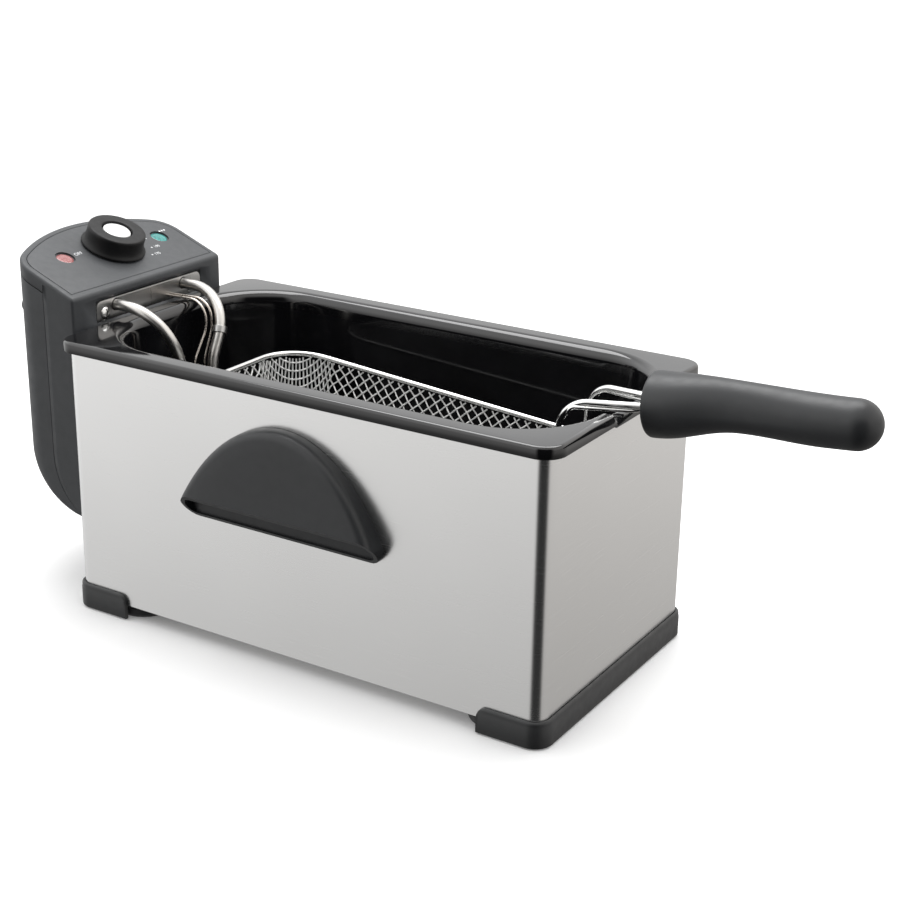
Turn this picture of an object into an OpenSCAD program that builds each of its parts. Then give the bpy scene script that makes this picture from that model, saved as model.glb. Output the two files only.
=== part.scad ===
// Countertop deep fryer: steel housing on two base feet, lift-out enamelled oil pot,
// hang-on control unit with heating element, and a wire basket with a folding handle.
// Millimetres. +X points to the basket-handle end, -Y to the near long side, +Z up.
// The origin is the bottom centre of the whole object; z = 0 is the table.

/* [Housing] */
// Length of the steel housing
body_len = 380; // [370:1:390]
// Width of the steel housing
body_wid = 200; // [196:1:210]
// Height of the pot rim above the table
rim_top = 200; // [198:1:215]
// Radius of the upright corners
corner_r = 10; // [8:1:12]
// Thickness of the sheet steel
sheet = 0.8; // [0.6:0.1:1]

/* [Feet and carrying handles] */
// Height of the wall of each base foot
foot_h = 19; // [16:1:22]
// Length of the foot's return along the long sides
foot_return = 45; // [35:1:60]
// Thickness of the foot's wall
foot_wall = 3; // [2.5:0.5:4]
// Half width of a carrying handle
grab_half = 79; // [75:1:88]
// Height of a carrying handle
grab_h = 75; // [66:1:78]
// How far a carrying handle stands out
grab_depth = 17; // [15:1:19]

/* [Oil pot] */
// How far the rim laps over the housing
rim_over = 5; // [4.5:0.5:6]
// Height of the rim's skirt
rim_skirt = 8; // [7:0.5:10]
// Length of the pot's opening
well_len = 360; // [350:1:362]
// Width of the pot's opening
well_wid = 172; // [160:1:174]
// Corner radius of the opening
well_r = 56; // [45:1:60]
// Depth of the pot below its rim
well_depth = 144; // [140:1:150]
// Thickness of the enamelled sheet
pot_wall = 1.2; // [1:0.1:1.6]
// Width of the dip in the front rim
notch_w = 50; // [46:1:56]

/* [Control unit] */
// Width of the control unit
ctl_wid = 160; // [156:1:164]
// Depth of the control unit, front to back
ctl_depth = 75; // [74:1:78]
// Height of the panel's front edge above the table
ctl_front_z = 221.5; // [220:0.5:226]
// Slope of the control panel
panel_pitch = 21; // [18:0.5:22]
// Height of the unit's underside above the table
ctl_bottom = 57; // [56:0.5:58]
// Wall thickness of the mouldings
ctl_wall = 2.5; // [2:0.1:2.6]
// Diameter of the temperature knob
knob_d = 48; // [40:1:50]
// Height of the temperature knob
knob_h = 15.4; // [12:0.2:18]

/* [Heating element] */
// Diameter of the heating tube
heater_d = 8; // [7.4:0.1:8.2]
// Distance between the two legs where they leave the plate
leg_gap = 73; // [70:1:76]
// Bend radius of the legs
leg_bend = 35; // [33:1:38]

/* [Basket] */
// Length of the basket over its rim wire
basket_len = 280; // [276:1:282]
// Width of the basket over its rim wire
basket_wid = 120; // [110:1:126]
// Depth of the basket
basket_depth = 76; // [72:1:76]
// Tilt of the hanging basket, rear end up
basket_pitch = 4.3; // [4:0.1:4.5]
// Diameter of the rim wire
rim_wire = 4; // [3:0.5:4]

/* [Basket handle] */
// Length of the grip
grip_len = 145; // [130:1:150]
// Diameter of the grip's collar
collar_d = 42; // [36:1:42]
// Upward slope of the grip
grip_pitch = 5.3; // [4:0.1:6]
// Diameter of the two handle wires
handle_wire = 4.2; // [3.8:0.1:4.4]

/* [Hidden] */
steel = "#cfd0ce";
bright = "#d9dcdf";
enamel = "#16171a";
plastic = "#3a3c3f";
soft = "#242528";
white = "#e8e8e6";

fit = 0.1;              // play between parts that are assembled
half_len = body_len / 2;
half_wid = body_wid / 2;
web_bottom = 7.5;       // underside of the foot's floor web
wrap_bottom = 10.5;     // lower edge of the steel wrap
flange_under = rim_top - pot_wall;
wrap_top = flange_under - 0.4;
frame_h = 12;
well_x = 2;             // centre of the pot's opening
notch_drop = 4.4;
pad_r = 24;
pad_x = half_len - 40;
pad_y = half_wid - 26;
base_screw_y = 30;
grab_x = -4;            // centre of the carrying handles
grab_z = 97;
grab_screw = 45;        // screws either side of a handle's centre
grab_screw_z = 30;
grab_slant = 19;        // rise of the open lower edge from back to front

ctl_gap = 10;           // from the housing's rear wall to the unit's face
ctl_x = -half_len - ctl_gap;
ctl_front_wall = 4;
ctl_rear_r = 150;       // radius of the bowed rear
ctl_corner_r = 22;
heel_a = 50;            // rounded lower rear edge, along and up
heel_b = 45;
heel_z = ctl_bottom + heel_b;
seam_x = ctl_x - 27.5;
cap_skirt = 9.5;        // height of the top's skirt over the rear cover
fascia_t = 1.2;
fascia_inset = 5;
knob_at = [-42, 5.2];    // on the panel, from the middle of its front edge
red_at = [-45, -41.4];
green_at = [-39.5, 54];
lens_r = 7.2;
shaft_r = 3;
plate_half = 57;
plate_z0 = rim_top - 0.7;
plate_z1 = rim_top + 14.8;
plate_t = 1.4;
gasket_t = 0.6;
leg_z = rim_top + 8.5;
leg_x = ctl_x + 45.5;    // where the legs run down
leg_y = leg_gap / 2;
leg_tilt = [20, 27];       // the legs lean towards each other
leg_inner_y = [16.5, 13.3]; // near leg, far leg
loop_z = 66;
loop_y = 62;
loop_x = 140;
tube_r = heater_d / 2;
rail_y = 45;
rail_z0 = 45;
rail_z1 = 186;
cover_screw_y = 62;
cover_screw_z = [95, 205];
boss_end = ctl_x - 37;
interlock_x = ctl_x - 10;
button_at = [ctl_x - 18, -28];
gland_at = [ctl_x - 22, 30];

basket_x = 20.5;        // middle of the basket's rim
basket_z = rim_top - 42.9;
rim_half_l = basket_len / 2 - rim_wire / 2;
rim_half_w = basket_wid / 2 - rim_wire / 2;
rim_r = 34;
tub_top = -rim_wire / 2 - 0.2;
tub_shrink = 14;
tub_t = 1.2;
eye_at = [129, -8];     // hinge eye on the tilted basket, along and up
eye_y = 20;
eye_x = basket_x + eye_at[0] * cos(basket_pitch) + eye_at[1] * sin(basket_pitch);
eye_z = basket_z - eye_at[0] * sin(basket_pitch) + eye_at[1] * cos(basket_pitch);
pin_r = 2.3;
wire_r = handle_wire / 2;
elbow = [153, eye_y, rim_top - 1.2];
collar_x = 206.5;
collar_z = rim_top + 1.6;
end_r = 15.5;
neck_r = 12.4;

rear_reach = ctl_x - ctl_depth;
front_reach = collar_x + (grip_len - end_r) * cos(grip_pitch) + end_r;
mid_x = (rear_reach + front_reach) / 2;

// ---- helpers ----

function unit(v) = v / norm(v);
function arc(c, r, a0, a1, n = 8) =
    [for (i = [0:n]) let (a = a0 + (a1 - a0) * i / n) c + r * [cos(a), sin(a)]];
function rounded_rect(l, w, r, n = 8) = concat(
    arc([l / 2 - r, w / 2 - r], r, 0, 90, n),
    arc([r - l / 2, w / 2 - r], r, 90, 180, n),
    arc([r - l / 2, r - w / 2], r, 180, 270, n),
    arc([l / 2 - r, r - w / 2], r, 270, 360, n));

// Points of one rounded corner c, between p and q
function corner(p, c, q, r, n = 7) =
    let (a = unit(p - c), b = unit(q - c), half = acos(a * b) / 2,
         reach = r / tan(half), o = c + unit(a + b) * r / sin(half), s = c + a * reach - o)
    [for (i = [0:n]) let (f = (180 - 2 * half) * i / n) o + s * cos(f) - a * r * sin(f)];

// A wire's centre line through its corners, each bent to its own radius
function bent(p, r) = concat([p[0]],
    [for (i = [1:len(p) - 2]) each corner(p[i - 1], p[i], p[i + 1], r[i - 1])],
    [p[len(p) - 1]]);
function mirrored(p) = [for (i = [len(p) - 1:-1:0]) [p[i][0], -p[i][1], p[i][2]]];
function carried(t, v, i = 0) = i >= len(t) ? [] :
    let (w = unit(v - (v * t[i]) * t[i])) concat([w], carried(t, w, i + 1));

// Round wire along a path
module wire(path, r, sides = 12, closed = false) {
    n = len(path);
    t = [for (i = [0:n - 1]) unit(closed ? path[(i + 1) % n] - path[(i + n - 1) % n]
        : path[min(i + 1, n - 1)] - path[max(i - 1, 0)])];
    across = carried(t, abs(t[0][2]) < 0.9 ? [0, 0, 1] : [0, 1, 0]);
    points = [for (i = [0:n - 1]) for (k = [0:sides - 1]) let (a = 360 * k / sides)
        path[i] + r * (cos(a) * across[i] + sin(a) * cross(t[i], across[i]))];
    rows = closed ? n : n - 1;
    skin = [for (i = [0:rows - 1]) for (k = [0:sides - 1])
        let (a = i * sides + k, b = i * sides + (k + 1) % sides,
             c = ((i + 1) % n) * sides + k, d = ((i + 1) % n) * sides + (k + 1) % sides)
        each [[a, c, d], [a, d, b]]];
    caps = closed ? [] : [[for (k = [0:sides - 1]) k],
        [for (k = [sides - 1:-1:0]) (n - 1) * sides + k]];
    polyhedron(points, concat(skin, caps));
}

module place() { translate([-mid_x, 0, 0]) children(); }
module prism(l, w, r, z0, z1, x = 0) {
    translate([x, 0, z0]) linear_extrude(z1 - z0) polygon(rounded_rect(l, w, r));
}
// Cylinder along X from x0 to x1
module rod_x(x0, x1, y, z, r) {
    translate([x0, y, z]) rotate([0, 90, 0]) cylinder(h = x1 - x0, r = r, $fn = 32);
}
// Cylinder along Y from y0 to y1
module rod_y(x, y0, y1, z, r) {
    translate([x, y0, z]) rotate([-90, 0, 0]) cylinder(h = y1 - y0, r = r, $fn = 32);
}
module rod_z(x, y, z0, z1, r) {
    translate([x, y, z0]) cylinder(h = z1 - z0, r = r, $fn = 32);
}
module block(x0, x1, y0, y1, z0, z1) {
    translate([x0, y0, z0]) cube([x1 - x0, y1 - y0, z1 - z0]);
}
module both_sides() { children(); mirror([0, 1, 0]) children(); }
module both_ends() { children(); mirror([1, 0, 0]) children(); }

// ---- housing ----

module grab_places() {
    for (x = [-grab_screw, grab_screw]) translate([grab_x + x, 0, grab_z + grab_screw_z]) children();
}

module housing_wrap() {
    color(steel) place() difference() {
        prism(body_len, body_wid, corner_r, wrap_bottom, wrap_top);
        prism(body_len - 2 * sheet, body_wid - 2 * sheet, corner_r - sheet, wrap_bottom - 1, wrap_top + 1);
        // room under the dip in the pot's rim
        block(half_len - 20, half_len + 1, -notch_w / 2 - 3, notch_w / 2 + 3,
            rim_top - notch_drop - pot_wall - 0.4, wrap_top + 1);
        grab_places() rod_y(0, -half_wid - 1, half_wid + 1, 0, 2 + fit);
    }
}

// Perforated floor of the housing
module base_plate() {
    slots = 9;
    pitch = 26;
    color(steel) place() difference() {
        prism(body_len - 2 * sheet - 2 * fit, body_wid - 2 * sheet - 2 * fit, corner_r - sheet - fit,
            wrap_bottom, wrap_bottom + 1.2);
        for (i = [0:slots - 1]) both_sides()
            block((i - (slots - 1) / 2) * pitch - 2, (i - (slots - 1) / 2) * pitch + 2, 12, 52,
                wrap_bottom - 1, wrap_bottom + 3);
        both_ends() both_sides() rod_z(pad_x, base_screw_y, wrap_bottom - 1, wrap_bottom + 3, 2 + fit);
    }
}

// One foot: a wall wrapped round the end of the housing, on a floor web
module base_foot() {
    inner = half_len - foot_return;
    difference() {
        prism(body_len + 2 * foot_wall, body_wid + 2 * foot_wall, corner_r + foot_wall, 1, foot_h);
        prism(body_len + 2 * fit, body_wid + 2 * fit, corner_r + fit, wrap_bottom, foot_h + 1);
        prism(body_len - 2, body_wid - 2, corner_r - 1, -1, web_bottom);
        block(-half_len * 2, inner - 24, -body_wid, body_wid, -1, foot_h + 1);
        both_sides() block(inner - 25, inner, half_wid - 0.5, body_wid, -1, foot_h + 1);
        both_sides() rod_z(pad_x, base_screw_y, 0, foot_h, 2 + fit);
        // the return's upper corner is rounded
        both_sides() rotate([90, 0, 0]) translate([inner, foot_h, -half_wid - 2 * foot_wall])
            linear_extrude(2 * foot_wall + 1)
                polygon(concat([[-1, 1]], arc([6, -6], 6, 180, 90), [[6, 1]]));
    }
}
module front_base_foot() { color(plastic) place() base_foot(); }
module rear_base_foot() { color(plastic) place() mirror([1, 0, 0]) base_foot(); }

module foot_pads() {
    color(soft) place() both_ends() both_sides() translate([pad_x, pad_y, 0]) rotate_extrude($fn = 48)
        polygon([[0, 0], [pad_r - 3, 0], [pad_r, 3], [pad_r, web_bottom], [0, web_bottom]]);
}

// Heat-resistant ring inside the housing's top edge, which carries the pot
module support_frame() {
    color(soft) place() difference() {
        prism(body_len - 2 * sheet - 2 * fit, body_wid - 2 * sheet - 2 * fit, corner_r - sheet - fit,
            wrap_top - frame_h, wrap_top);
        prism(well_len + 2 * pot_wall + 4, well_wid + 2 * pot_wall + 4, well_r + 2, wrap_top - frame_h - 1,
            wrap_top + 1, well_x);
        block(half_len - 20, half_len + 1, -notch_w / 2 - 3, notch_w / 2 + 3,
            rim_top - notch_drop - pot_wall - 0.4, wrap_top + 1);
    }
}

// Outline of a carrying handle: a flattened arch with rounded lower corners
function moon(inset) = concat(arc([grab_half - 9.6, 9], 9 - inset, 270, 380, 5),
    [for (i = [0:20]) let (t = 36 + 108 * i / 20)
        [(grab_half + 16 - inset) * cos(t), (2 * grab_h - inset) * sin(t) - grab_h]],
    arc([9.6 - grab_half, 9], 9 - inset, 160, 270, 5));
module moon_slice(inset, d0, d1) { translate([0, 0, d0]) linear_extrude(d1 - d0) polygon(moon(inset)); }

// A slice of the face, which leans out towards its lower edge
module moon_face(inset, below) {
    lean = 0.115;
    multmatrix([[1, 0, 0, 0], [0, 1, 0, 0], [0, -lean, 1, grab_depth - 0.2 + lean * 16 - below], [0, 0, 0, 1]])
        linear_extrude(0.2) polygon(moon(inset));
}

// Half-moon cup, open below, that stands out from a long side
module side_handle() {
    translate([grab_x, -half_wid, grab_z]) rotate([90, 0, 0]) difference() {
        union() {
            difference() {
                hull() {
                    moon_slice(0, 0, 4);
                    moon_face(0.9, 2.8);
                    moon_face(2.4, 1.1);
                    moon_face(5.5, 0);
                }
                hull() {
                    moon_slice(2.6, 2.2, 4);
                    moon_face(3.4, 4);
                    moon_face(7, 2.6);
                }
            }
            for (x = [-grab_screw, grab_screw]) translate([x, grab_screw_z, 2])
                cylinder(h = grab_depth - 5, r = 4.5, $fn = 32);
        }
        for (x = [-grab_screw, grab_screw]) translate([x, grab_screw_z, -1])
            cylinder(h = grab_depth - 7, r = 2 + fit / 2, $fn = 32);
        translate([0, 0, 2.2]) rotate([-atan(grab_slant / (grab_depth - 2.2)), 0, 0])
            translate([-grab_half - 5, -40, -20])
            cube([2 * grab_half + 10, 40, 60]);
    }
}
module side_handle_near() { color(plastic) place() side_handle(); }
module side_handle_far() { color(plastic) place() mirror([0, 1, 0]) side_handle(); }

module side_handle_screws() {
    color(bright) place() both_sides() grab_places() {
        rod_y(0, half_wid - sheet, half_wid + 9, 0, 2);
        rod_y(0, half_wid - sheet - 2.2, half_wid - sheet, 0, 4);
    }
}

module base_screws() {
    color(bright) place() both_ends() both_sides() {
        rod_z(pad_x, base_screw_y, web_bottom, wrap_bottom + 4, 2);
        rod_z(pad_x, base_screw_y, web_bottom - 2.2, web_bottom, 4);
    }
}

// Two T-section rails on the housing's rear wall, which the control unit hangs on
module guide_rails() {
    color(steel) place() both_sides() {
        block(-half_len - 1.5, -half_len, rail_y - 7, rail_y + 7, rail_z0, rail_z1);
        block(-half_len - 16, -half_len - 1.4, rail_y - 1.5, rail_y + 1.5, rail_z0, rail_z1);
        block(-half_len - 18, -half_len - 16, rail_y - 4.5, rail_y + 4.5, rail_z0, rail_z1);
    }
}

// Bracket and pin that work the safety switch when the unit is hung in place
module interlock_pin() {
    z0 = ctl_bottom - 9;
    color(steel) place() {
        block(-half_len - 1.5, -half_len, -9, 9, z0, ctl_bottom + 5);
        block(interlock_x - 6, -half_len - 1.4, -9, 9, z0, z0 + 1.5);
        rod_z(interlock_x, 0, z0 + 1.4, ctl_bottom + 11, 2.5);
    }
}

// ---- oil pot ----

module oil_pot() {
    rim_l = body_len + 2 * rim_over;
    rim_w = body_wid + 2 * rim_over;
    rim_r = corner_r + rim_over;
    floor_z = rim_top - well_depth;
    color(enamel) place() difference() {
        union() {
            prism(rim_l, rim_w, rim_r, rim_top - rim_skirt, rim_top);
            prism(well_len + 2 * pot_wall, well_wid + 2 * pot_wall, well_r + pot_wall,
                floor_z - pot_wall, rim_top, well_x);
        }
        // hollow between the skirt and the well
        difference() {
            prism(rim_l - 2 * pot_wall, rim_w - 2 * pot_wall, rim_r - pot_wall,
                rim_top - rim_skirt - 1, flange_under);
            prism(well_len + 2 * pot_wall, well_wid + 2 * pot_wall, well_r + pot_wall,
                floor_z - 1, rim_top, well_x);
            block(well_x + well_len / 2, half_len + rim_over, -notch_w / 2 - pot_wall,
                notch_w / 2 + pot_wall, rim_top - notch_drop - pot_wall, rim_top);
        }
        prism(well_len, well_wid, well_r, floor_z, rim_top + 1, well_x);
        // dip that the handle wires cross
        block(well_x + well_len / 2 - 12, half_len + rim_over + 1, -notch_w / 2, notch_w / 2,
            rim_top - notch_drop, rim_top + 1);
    }
}

// ---- control unit ----

// Plan outline, drawn inset by i; the face stays at x = face
function ctl_plan(i, face) =
    let (c = ctl_x - ctl_depth + ctl_rear_r, y = ctl_wid / 2 - ctl_corner_r,
         x = c - sqrt(pow(ctl_rear_r - ctl_corner_r, 2) - y * y), a = atan2(y, c - x))
    concat([[face, i - ctl_wid / 2], [face, ctl_wid / 2 - i]],
        arc([x, y], ctl_corner_r - i, 90, 180 - a, 6),
        arc([c, 0], ctl_rear_r - i, 180 - a, 180 + a, 14),
        arc([x, -y], ctl_corner_r - i, 180 + a, 270, 6));
// Height of the panel at x, lowered by d
function panel_z(x, d = 0) = ctl_front_z + (ctl_x - x) * tan(panel_pitch) - d / cos(panel_pitch);
// How far the plan moves forward at height z, where the lower rear edge is rounded
function heel(z, i = 0) =
    let (a = heel_a - i, b = heel_b - i, t = min(1, max(0, heel_z - z) / b)) a - a * sqrt(1 - t * t);
function ctl_low(i, face, s) = [for (p = ctl_plan(i, face))
    [min(face, p[0] + s * min(1, (face - p[0]) / 37)), p[1]]];
module ctl_solid(i, face) {
    rear = ctl_x - ctl_depth - 1;
    intersection() {
        hull() {
            translate([0, 0, heel_z]) linear_extrude(180) polygon(ctl_plan(i, face));
            for (k = [1:9]) let (z = heel_z - (heel_b - i) * sin(10 * k))
                translate([0, 0, z]) linear_extrude(0.01) polygon(ctl_low(i, face, heel(z, i)));
        }
        rotate([90, 0, 0]) translate([0, 0, -100]) linear_extrude(200) polygon([[face, panel_z(face, i)],
            [face, ctl_bottom + i], [rear, ctl_bottom + i], [rear, panel_z(rear, i)]]);
    }
}
// Everything in front of the seam or above the lower edge of the cap
module cap_region(grow) {
    x = seam_x - grow;
    d = cap_skirt + grow;
    rotate([90, 0, 0]) translate([0, 0, -100]) linear_extrude(200) polygon(concat(
        [[ctl_x + 1, 0], [ctl_x + 1, 300], [ctl_x - 100, 300], [ctl_x - 100, panel_z(ctl_x - 100, d)],
        [x, panel_z(x, d)]], [for (k = [0:9]) let (z = heel_z - (heel_b - 1) * sin(10 * k))
            [min(ctl_x - 4, x + 0.74 * heel(z)), z]], [[ctl_x - 4, 0]]));
}
module on_panel(at = [0, 0]) {
    translate([ctl_x, 0, ctl_front_z]) rotate([0, panel_pitch, 0]) translate([at[0], at[1], 0]) children();
}
module cover_screw_places() {
    for (y = [-cover_screw_y, cover_screw_y], z = cover_screw_z) translate([0, y, z]) children();
}
module fascia_outline(inset) {
    // the plan's outline drawn on the sloping panel
    d = fascia_inset + inset;
    intersection() {
        on_panel() translate([-100, -100, -fascia_t]) cube([200, 200, 30]);
        linear_extrude(300) polygon(ctl_plan(d, ctl_x - d));
    }
}

// Room in the underside for the rails' heads, the pin, the reset button and the strain relief
module underside_holes() {
    both_sides() block(ctl_x - 9, ctl_x + 1, rail_y - 5.2, rail_y + 5.2, ctl_bottom - 1,
        ctl_bottom + ctl_wall + fascia_t + 1);
    rod_z(interlock_x, 0, ctl_bottom - 1, ctl_bottom + 8, 3.4);
    rod_z(button_at[0], button_at[1], ctl_bottom - 1, ctl_bottom + 8, 3.8);
    rod_z(gland_at[0], gland_at[1], ctl_bottom - 1, ctl_bottom + 8, 6 + fit);
}

module control_housing() {
    color(plastic) place() difference() {
        union() {
            intersection() {
                difference() {
                    ctl_solid(0, ctl_x);
                    ctl_solid(ctl_wall + fascia_t, ctl_x - ctl_front_wall);
                }
                cap_region(0);
            }
            intersection() {
                cover_screw_places() rod_x(boss_end, ctl_x - 3, 0, 0, 5);
                ctl_solid(1, ctl_x);
            }
        }
        fascia_outline(0);
        cover_screw_places() rod_x(boss_end - 1, ctl_x - 14, 0, 0, 2 + fit / 2);
        // knob shaft and lamp windows
        on_panel(knob_at) translate([0, 0, -15]) cylinder(h = 30, r = shaft_r + 0.6, $fn = 32);
        for (p = [red_at, green_at])
            on_panel(p) translate([0, 0, -15]) cylinder(h = 30, r = lens_r + fit, $fn = 32);
        // pocket for the heater plate and holes behind it
        block(ctl_x - plate_t - gasket_t, ctl_x + 1, -plate_half - fit, plate_half + fit,
            plate_z0, plate_z1 + fit);
        both_sides() rod_x(ctl_x - 8, ctl_x + 1, leg_y, leg_z, tube_r + 0.4);
        for (y = [21, 25]) rod_x(ctl_x - 8, ctl_x + 1, y, rim_top + 2.3, 1.5);
        for (p = [[-48, 4], [44, 4]]) rod_x(ctl_x - 8, ctl_x + 1, p[0], rim_top + p[1], 2 + fit / 2);
        // slots for the rails, open below
        both_sides() block(ctl_x - ctl_front_wall - 1, ctl_x + 1, rail_y - 2.2, rail_y + 2.2,
            ctl_bottom - 1, rail_z1 + 3);
        underside_holes();
    }
}

// Thin printed panel let into the sloping top
module control_fascia() {
    color(soft) place() difference() {
        intersection() {
            fascia_outline(0.25);
            on_panel() translate([-100, -100, -fascia_t]) cube([200, 200, fascia_t]);
        }
        on_panel(knob_at) translate([0, 0, -15]) cylinder(h = 30, r = shaft_r + 0.6, $fn = 32);
        for (p = [red_at, green_at])
            on_panel(p) translate([0, 0, -15]) cylinder(h = 30, r = lens_r + fit, $fn = 32);
    }
}

module control_rear_cover() {
    color(plastic) place() difference() {
        union() {
            difference() {
                ctl_solid(0, ctl_x);
                ctl_solid(ctl_wall, ctl_x - ctl_front_wall);
                cap_region(0.2);
            }
            intersection() {
                cover_screw_places() rod_x(ctl_x - ctl_depth, boss_end - 0.2, 0, 0, 7.5);
                ctl_solid(0.5, ctl_x);
            }
        }
        cover_screw_places() rod_x(ctl_x - ctl_depth - 5, boss_end - 3.2, 0, 0, 5);
        cover_screw_places() rod_x(boss_end - 5, boss_end + 1, 0, 0, 2 + fit);
        underside_holes();
    }
}

module cover_screws() {
    color(bright) place() cover_screw_places() {
        rod_x(boss_end - 3.4, boss_end + 18, 0, 0, 2);
        rod_x(boss_end - 5.6, boss_end - 3.2, 0, 0, 4);
    }
}

module heater_plate() {
    r = 5;
    y = plate_half - r;
    color(bright) place() difference() {
        translate([ctl_x - plate_t, 0, 0]) rotate([90, 0, 90]) linear_extrude(plate_t) polygon(concat(
            arc([y, plate_z1 - r], r, 0, 90), arc([-y, plate_z1 - r], r, 90, 180),
            [[-plate_half, plate_z0], [plate_half, plate_z0]]));
        both_sides() rod_x(ctl_x - 8, ctl_x + 1, leg_y, leg_z, tube_r + fit / 2);
        for (q = [21, 25]) rod_x(ctl_x - 8, ctl_x + 1, q, rim_top + 2.3, 1.3);
        for (p = [[-48, 4], [44, 4]]) rod_x(ctl_x - 8, ctl_x + 1, p[0], rim_top + p[1], 2 + fit);
    }
}

// Sealing ring behind the heater plate
module plate_gasket() {
    color(soft) place() difference() {
        block(ctl_x - plate_t - gasket_t, ctl_x - plate_t, -plate_half, plate_half, plate_z0, plate_z1);
        both_sides() rod_x(ctl_x - 8, ctl_x + 1, leg_y, leg_z, tube_r + 0.2);
        for (q = [21, 25]) rod_x(ctl_x - 8, ctl_x + 1, q, rim_top + 2.3, 1.4);
        for (p = [[-48, 4], [44, 4]]) rod_x(ctl_x - 8, ctl_x + 1, p[0], rim_top + p[1], 2 + fit);
    }
}

module plate_screws() {
    color(bright) place() for (p = [[-48, 4], [44, 3]]) {
        y = p[0];
        head = p[1];
        z = rim_top + 4;
        rod_x(ctl_x - 9, ctl_x + 0.5, y, z, 2);
        difference() {
            intersection() {
                translate([ctl_x - head * 0.6, y, z]) sphere(r = head * 1.17, $fn = 48);
                rod_x(ctl_x, ctl_x + head, y, z, head);
            }
            block(ctl_x + head * 0.35, ctl_x + head, y - 0.5, y + 0.5, z - head, z + head);
        }
    }
}

// One tube: out of the plate, down into the pot, and round its floor
module heating_element() {
    half = [for (i = [0, 1]) bent([[ctl_x - 22, leg_y, leg_z], [leg_x, leg_y, leg_z],
        [leg_x, leg_inner_y[i], leg_z - (leg_y - leg_inner_y[i]) / tan(leg_tilt[i])],
        [leg_x, leg_inner_y[i], loop_z], [leg_x, loop_y, loop_z], [loop_x, loop_y, loop_z],
        [loop_x, 0, loop_z]],
        [leg_bend, 30, 14, 16, 28])];
    color(bright) place() wire(concat(half[1],
        mirrored([for (i = [0:len(half[0]) - 2]) half[0][i]])), tube_r, 14);
}

module heater_terminals() {
    color(white) place() both_sides() {
        rod_x(ctl_x - 28, ctl_x - 22, leg_y, leg_z, 5);
        rod_x(ctl_x - 36, ctl_x - 28, leg_y, leg_z, 1.8);
    }
}

// x, y, top and bottom of each bulb
bulbs = [[leg_x - 7.5, 13.3, 150, 100], [leg_x - 10.7, 6, 150, 118]];
module sensor_capillaries() {
    color(bright) place() for (i = [0, 1]) {
        b = bulbs[i];
        y = 25 - 4 * i;
        x = leg_x - 2 * i;
        wire(bent([[ctl_x - 14, y, rim_top + 1.8], [x - 9.5, y, rim_top + 4 - 0.5 * i],
            [x - 7.7, y - 2, rim_top - 17], [b[0], b[1], 162], [b[0], b[1], b[2]]], [15, 20, 12]), 1, 8);
    }
}
module sensor_bulbs() {
    color(bright) place() for (b = bulbs) rod_z(b[0], b[1], b[3], b[2], 3);
}

// Band that ties the capillaries to the far leg
module bulb_clip() {
    a = 10;
    down = [0, -sin(leg_tilt[1]), -cos(leg_tilt[1])];
    c = [leg_x - leg_bend, leg_y, leg_z] + leg_bend * down
        + leg_bend * (cos(a) * [1, 0, 0] - sin(a) * down);
    axis = sin(a) * [1, 0, 0] + cos(a) * down;
    color(bright) place() translate(c) rotate([0, acos(axis[2]), atan2(axis[1], axis[0])]) difference() {
        cylinder(h = 5, r = tube_r + 1.3, center = true, $fn = 32);
        cylinder(h = 7, r = tube_r + 0.5, center = true, $fn = 32);
    }
}

module thermostat_body() {
    top = -ctl_wall - fascia_t - fit;
    color(white) place() difference() {
        on_panel(knob_at) translate([-18, -18, top - 22]) cube([36, 36, 22]);
        on_panel(knob_at) translate([0, 0, top - 8]) cylinder(h = 20, r = shaft_r + 0.05, $fn = 32);
    }
}

module thermal_cutout() {
    x = button_at[0];
    y = button_at[1];
    color(soft) place() difference() {
        block(x - 8, x + 8, y - 7, y + 7, ctl_bottom + 9, ctl_bottom + 33);
        rod_z(x, y, ctl_bottom + 8, ctl_bottom + 17, 1.9);
    }
}
module reset_button() {
    color("#b3261e") place() {
        rod_z(button_at[0], button_at[1], ctl_bottom - 3.5, ctl_bottom + 4.6, 3.5);
        rod_z(button_at[0], button_at[1], ctl_bottom + 4.5, ctl_bottom + 5.7, 5);
        rod_z(button_at[0], button_at[1], ctl_bottom + 5.6, ctl_bottom + 12, 1.6);
    }
}

module microswitch() {
    color(soft) place() {
        block(ctl_x - 16, ctl_x - ctl_front_wall, -10, 10, ctl_bottom + 13, ctl_bottom + 25);
        rod_z(interlock_x, 0, ctl_bottom + 12, ctl_bottom + 13, 1.5);
    }
}
module terminal_block() {
    color(white) place() difference() {
        block(ctl_x - 18, ctl_x - ctl_front_wall, -18, 18, ctl_bottom + 43, ctl_bottom + 59);
        for (y = [-12, 0, 12]) rod_x(ctl_x - 19, ctl_x - 10, y, ctl_bottom + 51, 2.5);
    }
}

module lens(at) {
    on_panel(at) {
        translate([0, 0, -ctl_wall - fascia_t - 0.2])
            cylinder(h = ctl_wall + fascia_t - 0.7, r = lens_r, $fn = 48);
        translate([0, 0, -ctl_wall - fascia_t - 1.4]) cylinder(h = 1.35, r = lens_r + 1.8, $fn = 48);
    }
}
module red_lens() { color("#b64a4a") place() lens(red_at); }
module green_lens() { color("#2e9d84") place() lens(green_at); }
module neon_lamps() {
    color(white) place() for (p = [red_at, green_at]) on_panel(p)
        translate([0, 0, -ctl_wall - fascia_t - 17]) cylinder(h = 15.4, r = 3.5, $fn = 32);
}

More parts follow.
